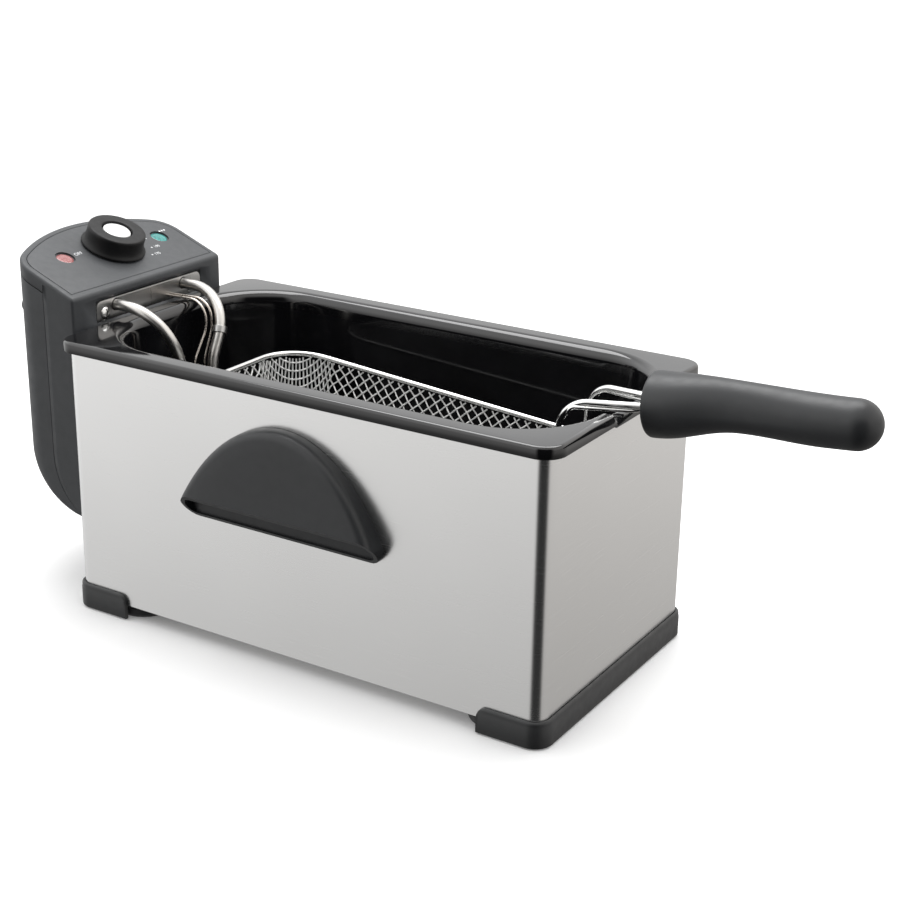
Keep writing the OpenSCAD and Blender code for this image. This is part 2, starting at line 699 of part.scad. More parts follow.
// Strain relief for the supply cord, in the unit's underside
module cord_gland() {
    color(soft) place() difference() {
        union() {
            rod_z(gland_at[0], gland_at[1], ctl_bottom - 10, ctl_bottom + 8, 6);
            rod_z(gland_at[0], gland_at[1], ctl_bottom - 2.5, ctl_bottom, 8.5);
        }
        rod_z(gland_at[0], gland_at[1], ctl_bottom - 11, ctl_bottom + 9, 3.5);
    }
}

// ---- knob ----

module control_knob() {
    r = knob_d / 2;
    color(soft) place() on_panel(knob_at) rotate_extrude($fn = 64) polygon(concat(
        [[shaft_r + 0.05, 1.2], [r - 0.6, 1.2], [r, 1.8], [r - 2.4, knob_h * 0.45]],
        arc([r - 7, knob_h - 4], 4, 20, 90, 5), [[11.6, knob_h], [11, knob_h - 1.5], [11, knob_h - 4],
        [shaft_r + 0.05, knob_h - 4]]));
}
module knob_cap() {
    color(white) place() on_panel(knob_at) rotate_extrude($fn = 64)
        polygon([[0, knob_h - 4], [10.8, knob_h - 4], [10.8, knob_h - 1.8], [10.2, knob_h - 1.2], [6, knob_h - 0.7], [0, knob_h - 0.5]]);
}
module thermostat_shaft() {
    color(bright) place() on_panel(knob_at) translate([0, 0, -ctl_wall - fascia_t - 7])
        cylinder(h = ctl_wall + fascia_t + 7 + knob_h - 4.1, r = shaft_r, $fn = 32);
}

// ---- basket ----

module on_basket() { translate([basket_x, 0, basket_z]) rotate([0, basket_pitch, 0]) children(); }
module tub_slice(shrink, inset, z) {
    translate([0, 0, z]) linear_extrude(0.1) polygon(rounded_rect(2 * (rim_half_l - shrink - inset),
        2 * (rim_half_w - shrink * 0.85 - inset), rim_r - shrink * 0.6 - inset));
}

// Closed tub with the outer shape of the wire mesh
module basket_mesh() {
    color(bright) place() on_basket() difference() {
        hull() {
            tub_slice(0, 0, tub_top - 0.1);
            tub_slice(tub_shrink, 0, -basket_depth);
        }
        hull() {
            tub_slice(0, tub_t, tub_top + 1);
            tub_slice(tub_shrink, tub_t, tub_t - basket_depth);
        }
    }
}
module basket_rim_wire() {
    path = [for (p = rounded_rect(2 * rim_half_l, 2 * rim_half_w, rim_r, 7)) [p[0], p[1], 0]];
    color(bright) place() on_basket() wire(path, rim_wire / 2, 12, closed = true);
}

// Strip with two eyes inside the basket's front wall
module basket_bracket() {
    wall_top = rim_half_l - tub_t - 0.6;
    slope = tub_shrink / (basket_depth + tub_top);
    z0 = eye_at[1] - 6;
    z1 = tub_top - 0.6;
    function wall_at(z) = wall_top + (z - tub_top) * slope;
    color(bright) place() on_basket() difference() {
        union() {
            rotate([90, 0, 0]) translate([0, 0, -eye_y - 5.5]) linear_extrude(2 * eye_y + 11)
                polygon([[wall_at(z0) - 1.2, z0], [wall_at(z0), z0], [wall_at(z1), z1],
                    [wall_at(z1) - 1.2, z1]]);
            both_sides() translate([0, eye_y + 5.5, 0]) rotate([90, 0, 0]) linear_extrude(2)
                polygon([[eye_at[0] - 4.5, z0], [wall_at(z0) - 0.5, z0], [wall_at(z1) - 0.5, z1],
                    [eye_at[0] - 4.5, z1]]);
        }
        rod_y(eye_at[0], -eye_y - 6, eye_y + 6, eye_at[1], pin_r + 0.08);
    }
}

// ---- basket handle ----

function grip_axis(s) = [collar_x + s * cos(grip_pitch), 0, collar_z + s * sin(grip_pitch)];
module handle_wires() {
    inside = grip_axis(24);
    color(bright) place() both_sides() {
        wire(bent([inside + [0, 4.5, 0], elbow, [eye_x, eye_y, eye_z]], [20]), wire_r, 14);
        rod_y(eye_x, eye_y - 2.6, eye_y + 7, eye_z, pin_r);
    }
}

// Thin wire below the handle wires that hooks over the rim to drain the basket
module rest_hook() {
    drop = wire_r + 1.8;
    side = [[158.5, 21.5, rim_top - 8], [159.5, 21, rim_top + 0.1 - drop],
        [201, 10.5, collar_z + 0.7 - drop], [201, 0, collar_z + 0.7 - drop]];
    half = bent(side, [4, 7]);
    color(bright) place() wire(concat(half, mirrored([for (i = [0:len(half) - 2]) half[i]])), 1.2, 8);
}

// Radius of the grip along its length: collar, neck, then a swelling to the rounded end
function blend(t) = (1 - cos(180 * min(max(t, 0), 1))) / 2;
function grip_r(s) = s < 58 ? collar_d / 2 + (neck_r - collar_d / 2) * blend((s - 4) / 54)
    : neck_r + (end_r - neck_r) * blend((s - 58) / 55);
function grip_top(s) = collar_d / 2 + (end_r - collar_d / 2) * blend((s - 20) / 115);
module handle_grip() {
    round_r = 2.5;
    last = grip_len - end_r;
    // distance along the grip, then how far the skin reaches up, down and sideways
    rows = concat([for (a = [0:22.5:90]) let (r = collar_d / 2 - round_r * (1 - sin(a)))
            [round_r * (1 - cos(a)), r, r, r]],
        [for (s = [6:6:last - 1]) let (u = grip_top(s), d = grip_r(s)) [s, u, d, d + 0.35 * (u - d)]],
        [for (a = [0:11:88]) let (r = end_r * cos(a)) [last + end_r * sin(a), r, r, r]]);
    n = len(rows);
    sides = 40;
    points = [for (q = rows) for (k = [0:sides - 1]) let (a = 360 * k / sides)
        [(sin(a) > 0 ? q[1] : q[2]) * sin(a), q[3] * cos(a), q[0]]];
    skin = [for (i = [0:n - 2]) for (k = [0:sides - 1])
        let (a = i * sides + k, b = i * sides + (k + 1) % sides, c = a + sides, d = b + sides)
        each [[a, b, c], [b, d, c]]];
    color(plastic) place() translate(grip_axis(0)) multmatrix([
        [-sin(grip_pitch), 0, cos(grip_pitch), 0], [0, -1, 0, 0], [cos(grip_pitch), 0, sin(grip_pitch), 0]])
        polyhedron(points, concat(skin, [[for (k = [sides - 1:-1:0]) k], [for (k = [0:sides - 1]) (n - 1) * sides + k]]));
}

housing_wrap();
base_plate();
front_base_foot();
rear_base_foot();
foot_pads();
support_frame();
side_handle_near();
side_handle_far();
side_handle_screws();
base_screws();
guide_rails();
interlock_pin();
oil_pot();
control_housing();
control_fascia();
control_rear_cover();
cover_screws();
heater_plate();
plate_gasket();
plate_screws();
heating_element();
heater_terminals();
sensor_capillaries();
sensor_bulbs();
bulb_clip();
thermostat_body();
thermal_cutout();
microswitch();
terminal_block();
red_lens();
green_lens();
neon_lamps();
cord_gland();
reset_button();
control_knob();
knob_cap();
thermostat_shaft();
basket_mesh();
basket_rim_wire();
basket_bracket();
handle_wires();
rest_hook();
handle_grip();
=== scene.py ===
import math

import bmesh
import bpy
from mathutils import Matrix, Vector


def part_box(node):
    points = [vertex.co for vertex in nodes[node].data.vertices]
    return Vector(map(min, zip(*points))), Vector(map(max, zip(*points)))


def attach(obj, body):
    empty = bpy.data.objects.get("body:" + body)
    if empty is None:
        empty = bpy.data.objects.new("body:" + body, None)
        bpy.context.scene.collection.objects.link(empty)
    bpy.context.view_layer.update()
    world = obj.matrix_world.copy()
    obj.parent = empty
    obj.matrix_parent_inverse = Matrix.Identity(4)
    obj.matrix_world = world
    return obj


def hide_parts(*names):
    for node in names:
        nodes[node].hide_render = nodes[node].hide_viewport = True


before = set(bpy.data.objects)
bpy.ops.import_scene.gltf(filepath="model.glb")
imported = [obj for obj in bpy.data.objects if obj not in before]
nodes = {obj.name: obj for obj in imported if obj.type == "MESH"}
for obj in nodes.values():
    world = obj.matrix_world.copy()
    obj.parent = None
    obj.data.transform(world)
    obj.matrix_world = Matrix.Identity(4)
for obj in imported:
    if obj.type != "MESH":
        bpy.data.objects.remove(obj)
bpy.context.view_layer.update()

# Everything is laid out in millimetres from the middle of the steel housing, with z = 0 on the table.
wrap_low, wrap_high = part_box("housing_wrap")
SHIFT = (wrap_low.x + wrap_high.x) / 2
TAN = math.tan(math.radians(21))
COS = math.cos(math.radians(21))
SIN = math.sin(math.radians(21))


def metres(p):
    return Vector((p[0] / 1000 + SHIFT, p[1] / 1000, p[2] / 1000))


# ---------------------------------------------------------------- camera

def make_camera():
    azimuth, elevation, roll = (math.radians(v) for v in (31.71, 20.32, 0.89))
    data = bpy.data.cameras.new("camera")
    data.sensor_width = 36
    data.lens = 68.59
    data.clip_end = 50
    camera = bpy.data.objects.new("camera", data)
    bpy.context.scene.collection.objects.link(camera)
    back = Vector((math.sin(azimuth) * math.cos(elevation), -math.cos(azimuth) * math.cos(elevation),
                   math.sin(elevation)))
    camera.location = metres(Vector((-315.2, 606.79, -123.71)) + back * 1910.37)
    camera.rotation_mode = "QUATERNION"
    turn = (-back).to_track_quat("-Z", "Y")
    camera.rotation_quaternion = turn @ Matrix.Rotation(roll, 3, "Z").to_quaternion()
    bpy.context.scene.camera = camera


make_camera()


# ---------------------------------------------------------------- materials

class Nodes:
    """Short way to write a material's node tree."""

    def __init__(self, name):
        self.material = bpy.data.materials.new(name)
        self.material.use_nodes = True
        self.tree = self.material.node_tree
        self.shader = self.tree.nodes["Principled BSDF"]

    def set(self, **values):
        for key, value in values.items():
            self.shader.inputs[key.replace("_", " ")].default_value = value
        return self

    def node(self, kind, **inputs):
        made = self.tree.nodes.new(kind)
        for key, value in inputs.items():
            socket = made.inputs[key.replace("_", " ")]
            if hasattr(value, "is_output"):
                self.tree.links.new(value, socket)
            else:
                socket.default_value = value
        return made

    def coordinates(self, scale=(1, 1, 1)):
        where = self.node("ShaderNodeTexCoord")
        return self.node("ShaderNodeMapping", Vector=where.outputs["Object"], Scale=scale).outputs[0]

    def noise(self, scale, detail=3.0, stretch=(1, 1, 1), rough=0.5):
        made = self.node("ShaderNodeTexNoise", Vector=self.coordinates(stretch), Scale=scale, Detail=detail,
                         Roughness=rough)
        return made.outputs["Fac"]

    def between(self, factor, low, high, start=0.3, end=0.7):
        made = self.node("ShaderNodeMapRange", Value=factor)
        for key, value in (("From Min", start), ("From Max", end), ("To Min", low), ("To Max", high)):
            made.inputs[key].default_value = value
        return made.outputs[0]

    def tint(self, factor, one, two, start=0.3, end=0.7):
        ramp = self.tree.nodes.new("ShaderNodeValToRGB")
        self.tree.links.new(factor, ramp.inputs[0])
        ramp.color_ramp.elements[0].position = start
        ramp.color_ramp.elements[1].position = end
        ramp.color_ramp.elements[0].color = (*one, 1)
        ramp.color_ramp.elements[1].color = (*two, 1)
        return ramp.outputs[0]

    def link(self, output, socket):
        self.tree.links.new(output, self.shader.inputs[socket])

    def bump(self, height, strength, distance):
        made = self.node("ShaderNodeBump", Height=height, Strength=strength, Distance=distance / 1000)
        self.link(made.outputs[0], "Normal")
        return self


def brushed(name, colour, dark, rough=(0.2, 0.3), stretch=(0.02, 0.02, 1), scale=900, depth=0.012):
    m = Nodes(name).set(Metallic=1.0)
    grain = m.noise(scale, 4, stretch, 0.6)
    cloud = m.noise(9, 2)
    m.link(m.tint(m.between(cloud, 0, 1), dark, colour, 0.0, 1.0), "Base Color")
    m.link(m.between(grain, *rough), "Roughness")
    return m.bump(grain, 0.35, depth).material if depth else m.material


def chrome(name, colour=(0.82, 0.82, 0.81), rough=(0.1, 0.2), metal=1.0):
    m = Nodes(name).set(Metallic=metal)
    m.link(m.tint(m.noise(60, 3), colour, tuple(c * 0.9 for c in colour)), "Base Color")
    m.link(m.between(m.noise(260, 3), *rough), "Roughness")
    return m.bump(m.noise(400, 2), 0.1, 0.02).material


def moulded(name, colour, rough=(0.42, 0.52), grain=2600, depth=0.05, specular=0.5, strength=0.35):
    """Moulded plastic with a fine etched grain."""
    m = Nodes(name)
    m.shader.inputs["Specular IOR Level"].default_value = specular
    cells = m.node("ShaderNodeTexVoronoi", Vector=m.coordinates(), Scale=grain).outputs["Distance"]
    broad = m.noise(14, 2)
    m.link(m.tint(broad, tuple(c * 0.88 for c in colour), tuple(min(1, c * 1.1) for c in colour)), "Base Color")
    m.link(m.between(m.noise(180, 3), *rough), "Roughness")
    return m.bump(cells, strength, depth).material


def enamel(name):
    m = Nodes(name).set(IOR=1.55)
    # the walls of the well are duller than the rim
    height = m.node("ShaderNodeSeparateXYZ", Vector=m.coordinates()).outputs["Z"]
    m.link(m.between(height, 0.08, 0.5, 0.186, 0.197), "Specular IOR Level")
    m.link(m.between(height, 0.0, 0.4, 0.186, 0.197), "Coat Weight")
    m.shader.inputs["Coat Roughness"].default_value = 0.03
    m.link(m.tint(m.noise(30, 3), (0.0035, 0.0035, 0.004), (0.006, 0.006, 0.007)), "Base Color")
    m.link(m.between(m.noise(110, 3), 0.07, 0.13), "Roughness")
    return m.bump(m.noise(70, 2), 0.06, 0.25).material


def lens_material(name, colour, dark):
    m = Nodes(name).set(IOR=1.49)
    m.shader.inputs["Coat Weight"].default_value = 0.5
    cells = m.node("ShaderNodeTexVoronoi", Vector=m.coordinates(), Scale=700).outputs["Distance"]
    m.link(m.tint(cells, colour, dark, 0.15, 0.75), "Base Color")
    m.link(m.between(m.noise(300, 2), 0.12, 0.25), "Roughness")
    return m.bump(cells, 0.5, 0.25).material


def rubber(name, colour=(0.02, 0.02, 0.021)):
    m = Nodes(name)
    m.link(m.tint(m.noise(40, 4), colour, tuple(c * 1.7 for c in colour)), "Base Color")
    m.link(m.between(m.noise(300, 3), 0.6, 0.78), "Roughness")
    return m.bump(m.noise(1500, 3), 0.3, 0.05).material


def printed(name, colour):
    m = Nodes(name).set(Roughness=0.5)
    m.link(m.tint(m.noise(900, 2), colour, tuple(c * 0.85 for c in colour)), "Base Color")
    return m.material


STEEL_SIDE = brushed("steel_wrap", (0.88, 0.88, 0.875), (0.86, 0.86, 0.855), (0.25, 0.275), (0.006, 0.006, 1), 4000, 0)
STEEL_PLAIN = brushed("steel_plain", (0.5, 0.495, 0.485), (0.43, 0.428, 0.42), (0.26, 0.4), (1, 1, 0.03), 500)
TUBE = brushed("tube_steel", (0.67, 0.655, 0.63), (0.58, 0.565, 0.54), (0.26, 0.38), (1, 1, 1), 300, 0.02)
CHROME = chrome("chrome_wire")
MESH = chrome("mesh_wire", (0.9, 0.9, 0.89), (0.3, 0.42), 0.45)
SCREW = chrome("screw_steel", (0.7, 0.7, 0.69), (0.18, 0.3))
COPPER = chrome("capillary", (0.72, 0.66, 0.6), (0.2, 0.32))
ENAMEL = enamel("pot_enamel")
UNIT = moulded("unit_plastic", (0.048, 0.051, 0.055), (0.44, 0.54))
FASCIA = moulded("fascia_plastic", (0.050, 0.053, 0.057), (0.46, 0.56), 3000)
FOOT = moulded("foot_plastic", (0.026, 0.027, 0.028), (0.4, 0.5))
HANDLE = moulded("handle_plastic", (0.021, 0.0225, 0.0245), (0.36, 0.46), 3200, 0.03)
KNOB = moulded("knob_plastic", (0.006, 0.006, 0.0065), (0.45, 0.55), 3600, 0.03, 0.3)
FRAME = moulded("frame_plastic", (0.02, 0.02, 0.02), (0.5, 0.6))
INNER = moulded("inner_plastic", (0.03, 0.03, 0.03), (0.4, 0.5))
BUTTON = moulded("button_plastic", (0.42, 0.03, 0.02), (0.25, 0.35))
CERAMIC = moulded("ceramic", (0.78, 0.77, 0.73), (0.15, 0.25), 900, 0.02)
CAP = moulded("cap_plastic", (0.78, 0.78, 0.77), (0.22, 0.32), 2600, 0.02)
RED = lens_material("red_lens", (0.38, 0.17, 0.165), (0.27, 0.07, 0.07))
GREEN = lens_material("green_lens", (0.03, 0.30, 0.28), (0.01, 0.17, 0.155))
RUBBER = rubber("pad_rubber")
PRINT = printed("print_white", (0.75, 0.76, 0.77))


# ---------------------------------------------------------------- mesh tools

def place(obj, body, material, cad=()):
    if not obj.users_collection:
        bpy.context.scene.collection.objects.link(obj)
    obj.data.materials.clear()
    obj.data.materials.append(material)
    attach(obj, body)
    for name in (cad if isinstance(cad, (tuple, list)) else [cad]):
        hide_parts(name)
    return obj


def mesh_object(name, parts, sharp=35):
    """parts is a list of (points in millimetres, faces)."""
    bm = bmesh.new()
    for points, faces in parts:
        verts = [bm.verts.new(metres(p)) for p in points]
        for face in faces:
            ring = []
            for i in face:
                if not ring or (points[i] - points[ring[-1]]).length > 1e-4:
                    ring.append(i)
            if len(ring) > 2 and (points[ring[0]] - points[ring[-1]]).length < 1e-4:
                ring.pop()
            if len(ring) > 2:
                try:
                    bm.faces.new([verts[i] for i in ring])
                except ValueError:
                    pass
    bmesh.ops.remove_doubles(bm, verts=bm.verts, dist=2e-6)
    bmesh.ops.recalc_face_normals(bm, faces=bm.faces)
    mark_sharp(bm, sharp)
    mesh = bpy.data.meshes.new(name)
    bm.to_mesh(mesh)
    bm.free()
    obj = bpy.data.objects.new(name, mesh)
    bpy.context.scene.collection.objects.link(obj)
    return obj


def mark_sharp(bm, sharp):
    for face in bm.faces:
        face.smooth = True
    for edge in bm.edges:
        if len(edge.link_faces) == 2 and edge.calc_face_angle(0) > math.radians(sharp):
            edge.smooth = False


def loft(rings, closed=True, cap_start=False, cap_end=False, loop=False):
    n = len(rings[0])
    points = [Vector(p) for ring in rings for p in ring]
    faces = []
    rows = len(rings) if loop else len(rings) - 1
    for i in range(rows):
        for k in range(n if closed else n - 1):
            a, b = i * n + k, i * n + (k + 1) % n
            c, d = ((i + 1) % len(rings)) * n + k, ((i + 1) % len(rings)) * n + (k + 1) % n
            faces.append((a, b, d, c))
    if cap_start:
        faces.append(tuple(range(n - 1, -1, -1)))
    if cap_end:
        faces.append(tuple(range((len(rings) - 1) * n, len(rings) * n)))
    return points, faces


def rounded_ring(length, width, radius, z, x=0, n=14, front=()):
    points = []
    for sx, sy, start in ((1, 1, 0), (-1, 1, 90), (-1, -1, 180), (1, -1, 270)):
        cx, cy = x + sx * (length / 2 - radius), sy * (width / 2 - radius)
        for i in range(n + 1):
            a = math.radians(start + 90 * i / n)
            points.append((cx + radius * math.cos(a), cy + radius * math.sin(a), z))
    return points + [(x + length / 2, y, z) for y in front]


def lathe(profile, to_mm, seg=72, cap_start=False, cap_end=False):
    """profile holds (radius, height); to_mm turns (x, y, height) into a place."""
    rings = []
    for r, h in profile:
        rings.append([to_mm(r * math.cos(2 * math.pi * k / seg), r * math.sin(2 * math.pi * k / seg), h)
                      for k in range(seg)])
    return loft(rings, True, cap_start, cap_end)


def corner(p, c, q, r, n=12):
    a, b = (p - c).normalized(), (q - c).normalized()
    half = math.acos(max(-1, min(1, a.dot(b)))) / 2
    reach = r / math.tan(half)
    o = c + (a + b).normalized() * r / math.sin(half)
    s = c + a * reach - o
    return [o + s * math.cos(f) - a * r * math.sin(f)
            for f in ((math.pi - 2 * half) * i / n for i in range(n + 1))]


def bent(points, radii, n=12):
    points = [Vector(p) for p in points]
    path = [points[0]]
    for i in range(1, len(points) - 1):
        path += corner(points[i - 1], points[i], points[i + 1], radii[i - 1], n)
    return path + [points[-1]]


def mirrored(path):
    return [Vector((p[0], -p[1], p[2])) for p in reversed(path)]


def wires(name, paths, radius, cyclic=False, resolution=4):
    data = bpy.data.curves.new(name, "CURVE")
    data.dimensions = "3D"
    for path in paths:
        spline = data.splines.new("POLY")
        spline.points.add(len(path) - 1)
        for point, p in zip(spline.points, path):
            point.co = (*metres(p), 1)
        spline.use_cyclic_u = cyclic
        spline.use_smooth = True
    data.bevel_depth = radius / 1000
    data.bevel_resolution = resolution
    data.use_fill_caps = True
    obj = bpy.data.objects.new(name, data)
    bpy.context.scene.collection.objects.link(obj)
    return obj


def bevel(obj, width, segments=3, angle=35):
    made = obj.modifiers.new("bevel", "BEVEL")
    made.width = width / 1000
    made.segments = segments
    made.limit_method = "ANGLE"
    made.angle_limit = math.radians(angle)
    made.use_clamp_overlap = True
    made.harden_normals = False
    return obj


def thicken(obj, thickness, even=True):
    made = obj.modifiers.new("wall", "SOLIDIFY")
    made.thickness = thickness / 1000
    made.offset = -1
    made.use_even_offset = even
    return obj


def facing(obj, outward):
    """Turns an open sheet's faces so that they look along outward(centre)."""
    total = sum(p.normal.dot(outward(p.center)) * p.area for p in obj.data.polygons)
    if total < 0:
        obj.data.flip_normals()
    return obj


def cut(obj, cutters):
    """Takes the cutters out of obj, for good."""
    for cutter in cutters:
        made = obj.modifiers.new("cut", "BOOLEAN")
        made.operation = "DIFFERENCE"
        made.solver = "EXACT"
        made.object = cutter
    graph = bpy.context.evaluated_depsgraph_get()
    mesh = bpy.data.meshes.new_from_object(obj.evaluated_get(graph))
    old = obj.data
    obj.modifiers.clear()
    obj.data = mesh
    bpy.data.meshes.remove(old)
    for cutter in cutters:
        bpy.data.objects.remove(cutter)
    bm = bmesh.new()
    bm.from_mesh(mesh)
    bmesh.ops.remove_doubles(bm, verts=bm.verts, dist=2e-6)
    mark_sharp(bm, 35)
    bm.to_mesh(mesh)
    bm.free()
    return obj


def soften(name, width, material, segments=2):
    """Gives a CAD node rounded edges and a material; its own mesh stays as it is."""
    obj = nodes[name]
    weld = obj.modifiers.new("weld", "WELD")
    weld.merge_threshold = 2e-6
    bevel(obj, width, segments, 40)
    normals = obj.modifiers.new("normals", "WEIGHTED_NORMAL")
    normals.keep_sharp = False
    paint(name, material)


def paint(name, material):
    data = nodes[name].data
    data.materials.clear()
    data.materials.append(material)


# ---------------------------------------------------------------- housing

def housing():
    def ring(inset, z):
        return rounded_ring(380 - 2 * inset, 200 - 2 * inset, 10 - inset, z, n=20, front=(-28, -27, 0, 27, 28))

    def dip(points):
        return [(x, y, min(z, 193.4) if x > 185 and abs(y) < 27.5 else z) for x, y, z in points]

    rings = [ring(0.25, 10.5), ring(0, 10.8), ring(0, 60), dip(ring(0, 198.1)), dip(ring(0.25, 198.35)),
             dip(ring(0.6, 198.35)), dip(ring(0.8, 198.1)), ring(0.8, 10.7)]
    obj = mesh_object("steel_wrap", [loft(rings, loop=True)])
    place(obj, "housing", STEEL_SIDE, "housing_wrap")


def foot(sign, name, cad):
    """U-shaped wall on a floor web, open towards the middle."""
    start = 145

    def path(inset):
        points = []
        l, w, r = 193 - inset, 103 - inset, 13 - inset
        for i in range(9):
            points.append((start + i * i * 0.3, -w))
        for i in range(15):
            a = math.radians(270 + 90 * i / 14)
            points.append((l - r + r * math.cos(a), -w + r + r * math.sin(a)))
        points += [(l, -40), (l, 0), (l, 40)]
        for i in range(15):
            a = math.radians(90 * i / 14)
            points.append((l - r + r * math.cos(a), w - r + r * math.sin(a)))
        for i in range(8, -1, -1):
            points.append((start + i * i * 0.3, w))
        return points

    def top(x, y, z):
        near = x - start
        if abs(y) > 95 and near < 6.2:
            return min(z, 12.6 + math.sqrt(max(0, 6.4 ** 2 - (6.4 - near) ** 2)) - (19 - z) * 0.4)
        return z

    rows = [(3, 1.6), (2.6, 1.0), (0.9, 1.0), (0.25, 1.25), (0, 1.9), (0, 14.6), (0.35, 15.2), (0.35, 17.2),
            (0.6, 18.3), (1.2, 18.85), (1.9, 19.0), (2.6, 18.85), (2.85, 18.4), (2.85, 10.6), (2.85, 7.6)]
    rings = [[(sign * x, y, top(x, y, z)) for x, y in path(inset)] for inset, z in rows]
    walls = loft(rings, closed=False)
    ends = []
    for k in (0, len(rings[0]) - 1):
        outline = [Vector(r[k]) for r in rings]
        ends.append((outline, [tuple(range(len(outline)))]))
    web = []
    for z in (7.5, 10.4):
        web.append([(sign * x, y, z) for x, y in
                    ((121, -62), (123, -66), (146, -98), (186, -99), (190, -95), (190, 95), (186, 99), (146, 98),
                     (123, 66), (121, 62))])
    obj = mesh_object(name, [walls, *ends, loft(web, cap_start=True, cap_end=True)], 40)
    place(obj, "housing", FOOT, cad)


def moon(inset):
    """Outline of a carrying handle, along and up: a flattened arch with rounded lower corners."""
    right = []
    for i in range(7):
        a = math.radians(270 + 110 * i / 6)
        right.append((69.4 + (9 - inset) * math.cos(a), 9 + (9 - inset) * math.sin(a)))
    for i in range(17):
        a = math.radians(36 + 54 * i / 16)
        right.append(((95 - inset) * math.cos(a), (150 - inset) * math.sin(a) - 75))
    return right + [(-x, z) for x, z in reversed(right[:-1])]


def side_handle(side, name, cad):
    """Half-moon cup, open below, whose face leans out towards its lower edge."""
    def at(x, d, h):
        return (x - 4, side * (100 + d), 97 + h)

    def flat(inset, d):
        return [at(x, d, h) for x, h in moon(inset)]

    def face(inset, below, share=1.0):
        ring = []
        for x, h in moon(inset):
            x, h = x * share, 30 + (h - 30) * share
            ring.append(at(x, 16.9 - 0.115 * (h - 16) - below, h))
        return ring

    outer = [flat(0.4, 0), flat(0, 0.5), flat(0, 3), face(0, 6), face(0.25, 4.4), face(0.8, 3), face(1.7, 1.7),
             face(2.8, 0.9), face(4.2, 0.3), face(6, 0), face(6, -0.15, 0.8), face(6, -0.3, 0.5), face(6, -0.35, 0.2)]
    obj = mesh_object(name, [loft(outer, cap_start=True, cap_end=True)], 40)
    inner = mesh_object("cutter", [loft([flat(2.6, 2.2), flat(2.6, 4), face(3.4, 4), face(4.8, 3), face(7, 2.6)],
                                        cap_start=True, cap_end=True)])
    wedge = [[at(x, d, h) for d, h in ((1, -1.55), (2.2, 0), (24, 28), (24, -20), (1, -20))] for x in (-95, 95)]
    below = mesh_object("cutter", [loft(wedge, cap_start=True, cap_end=True)])
    cut(obj, [inner, below])
    bevel(obj, 0.8, 3, 50)
    place(obj, "housing", HANDLE, cad)


housing()
foot(1, "front_foot", "front_base_foot")
foot(-1, "rear_foot", "rear_base_foot")
side_handle(-1, "grab_near", "side_handle_near")
side_handle(1, "grab_far", "side_handle_far")
soften("foot_pads", 0.6, RUBBER)
soften("guide_rails", 0.3, STEEL_PLAIN)
soften("interlock_pin", 0.3, STEEL_PLAIN)
paint("base_plate", STEEL_PLAIN)
paint("support_frame", FRAME)
soften("side_handle_screws", 0.2, SCREW)
soften("base_screws", 0.2, SCREW)


# ---------------------------------------------------------------- oil pot

def pot():
    def dip(points):
        out = []
        for x, y, z in points:
            if x > 170 and abs(y) < 30 and z > 190:
                edge = min(1, max(0, (29.5 - abs(y)) / 4.5))
                amount = 3.9 * edge * edge * (3 - 2 * edge) * min(1, (z - 190) / 6)
                z -= amount
            out.append((x, y, z))
        return out

    front = [-29.5, -28.5, -27.5, -26.5, -25.5, -25, -24, -18, -10, 0, 10, 18, 24, 25, 25.5, 26.5, 27.5, 28.5, 29.5]

    def rim(d, z):
        return dip(rounded_ring(390 - 2 * d, 210 - 2 * d, 15 - d, z, n=16, front=front))

    def mouth(e, z):
        return dip(rounded_ring(360 + 2 * e, 172 + 2 * e, 56 + e, z, 2, n=16, front=front))

    rings = [mouth(-10.8, 54.8), mouth(-5.5, 55.8), mouth(-1.8, 58.6), mouth(0.6, 63.2), mouth(1.2, 68),
             mouth(1.2, 189), mouth(1.8, 195), mouth(3.6, 197.8), mouth(7, 198.8), rim(3, 198.8), rim(1.6, 198.1),
             rim(1.2, 196.8), rim(1.2, 192.6), rim(1.0, 192.15), rim(0.6, 192.0), rim(0.2, 192.15), rim(0, 192.6),
             rim(0, 197.2), rim(0.25, 198.5), rim(0.9, 199.4), rim(1.9, 199.9), rim(3.0, 200.0)]
    rings += [mouth(7.4, 200.0), mouth(6.6, 199.95), mouth(5.2, 199.6), mouth(3.6, 198.9), mouth(2.2, 197.8),
              mouth(1.1, 196.3), mouth(0.35, 194.4), mouth(0, 191.5), mouth(0, 150), mouth(0, 100), mouth(0, 68),
              mouth(-0.5, 64.5), mouth(-2, 61), mouth(-4.4, 58.2), mouth(-7.6, 56.5), mouth(-11, 56.0)]
    obj = mesh_object("enamel_pot", [loft(rings, cap_start=True, cap_end=True)], 50)
    place(obj, "oil_pot", ENAMEL, "oil_pot")


pot()


# ---------------------------------------------------------------- control unit

FACE = -200
SEAM = -227.5


